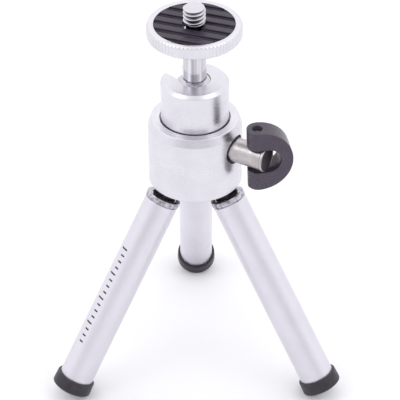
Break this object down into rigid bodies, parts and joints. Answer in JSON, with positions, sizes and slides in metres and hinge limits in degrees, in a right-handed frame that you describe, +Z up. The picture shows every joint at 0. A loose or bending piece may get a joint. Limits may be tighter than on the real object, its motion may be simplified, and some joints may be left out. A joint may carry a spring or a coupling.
{
  "type": "mini tabletop tripod with ball head",
  "caption": "Small folding tabletop tripod with slotted ball head, C-shaped lock lever and camera screw platform.",
  "frame": {"origin": "on the camera screw's axis, in the plane of the rubber pad's ridge tops, where a camera's base rests", "axes": "+Z up the camera screw; the legs stand at azimuths 90, 210 and 330 degrees from +X towards +Y; the lock shaft points out at 330 degrees"},
  "size_m": [0.0848, 0.075, 0.1209],
  "materials": {
    "polished_aluminium": "polished",
    "knurled_aluminium": "satin, straight knurl",
    "satin_aluminium": "fine satin anodised",
    "chrome": "polished",
    "brushed_steel": "brushed",
    "zinc": "die cast, dark",
    "rubber": "matt",
    "black_plastic": "matt",
    "brass": "machined"
  },
  "bodies": {
    "base": {"body_shell": "polished_aluminium", "leg_hub": "zinc", "hub_screw": "brushed_steel", "collar_retainer": "brushed_steel", "pan_washer": "black_plastic", "knob_seal": "rubber", "hinge_pin_1": "brushed_steel", "hinge_pin_2": "brushed_steel", "hinge_pin_3": "brushed_steel", "hinge_washers_1": "brushed_steel", "hinge_washers_2": "brushed_steel", "hinge_washers_3": "brushed_steel"},
    "pan_head": {"ball_collar": "polished_aluminium"},
    "seat": {"ball_seat": "brass"},
    "ball": {"ball": "chrome"},
    "platform": {"stem_stud": "chrome", "platform_disc": "knurled_aluminium", "rubber_pad": "rubber"},
    "plunger": {"clamp_plunger": "brushed_steel"},
    "spindle": {"lock_spindle": "brushed_steel"},
    "shaft": {"lock_shaft": "brushed_steel", "shaft_end_plug": "black_plastic", "lever_pin": "brushed_steel"},
    "lever": {"lock_lever": "black_plastic"},
    "leg_1": {"leg_plug_1": "black_plastic", "leg_ring_1": "polished_aluminium", "leg_tube_1": "satin_aluminium", "rubber_foot_1": "rubber"},
    "leg_2": {"leg_plug_2": "black_plastic", "leg_ring_2": "polished_aluminium", "leg_tube_2": "satin_aluminium", "rubber_foot_2": "rubber"},
    "leg_3": {"leg_plug_3": "black_plastic", "leg_ring_3": "polished_aluminium", "leg_tube_3": "satin_aluminium", "rubber_foot_3": "rubber"}
  },
  "joints": [
    {"name": "pan", "type": "hinge", "parent": "base", "child": "pan_head", "pos_m": [0, 0, -0.0307], "axis": [0, 0, 1], "continuous": true},
    {"name": "ball_tilt", "type": "hinge", "parent": "pan_head", "child": "ball", "pos_m": [0, 0, -0.0238], "axis": [0.7314, 0.682, 0], "range_deg": [-90, 0]},
    {"name": "platform_spin", "type": "hinge", "parent": "ball", "child": "platform", "pos_m": [0, 0, 0], "axis": [0, 0, 1], "continuous": true},
    {"name": "lock_travel", "type": "slide", "parent": "base", "child": "spindle", "axis": [0.866, -0.5, 0], "range_m": [0, 0.0008]},
    {"name": "lock_turn", "type": "hinge", "parent": "spindle", "child": "shaft", "pos_m": [0.01767, -0.0102, -0.0377], "axis": [0.866, -0.5, 0], "range_deg": [0, 360.1]},
    {"name": "lever_flip", "type": "hinge", "parent": "shaft", "child": "lever", "pos_m": [0.01767, -0.0102, -0.0377], "axis": [-0.0262, -0.0453, 0.9986], "range_deg": [-125, 45]},
    {"name": "plunger_drop", "type": "slide", "parent": "base", "child": "plunger", "axis": [0, 0, -1], "range_m": [0, 0.00047]},
    {"name": "seat_drop", "type": "slide", "parent": "pan_head", "child": "seat", "axis": [0, 0, -1], "range_m": [0, 0.00047]},
    {"name": "leg_fold_1", "type": "hinge", "parent": "base", "child": "leg_1", "pos_m": [0, 0.0072, -0.0491], "axis": [-1, 0, 0], "range_deg": [0, 29.5]},
    {"name": "leg_fold_2", "type": "hinge", "parent": "base", "child": "leg_2", "pos_m": [-0.00624, -0.0036, -0.0491], "axis": [0.5, -0.866, 0], "range_deg": [0, 29.5]},
    {"name": "leg_fold_3", "type": "hinge", "parent": "base", "child": "leg_3", "pos_m": [0.00624, -0.0036, -0.0491], "axis": [0.5, 0.866, 0], "range_deg": [0, 29.5]}
  ],
  "couplings": [
    {"joint": "lock_turn", "follows": "lock_travel", "rad_per_m": 7854},
    {"joint": "plunger_drop", "follows": "lock_travel", "ratio": 0.57735},
    {"joint": "seat_drop", "follows": "lock_travel", "ratio": 0.57735}
  ]
}
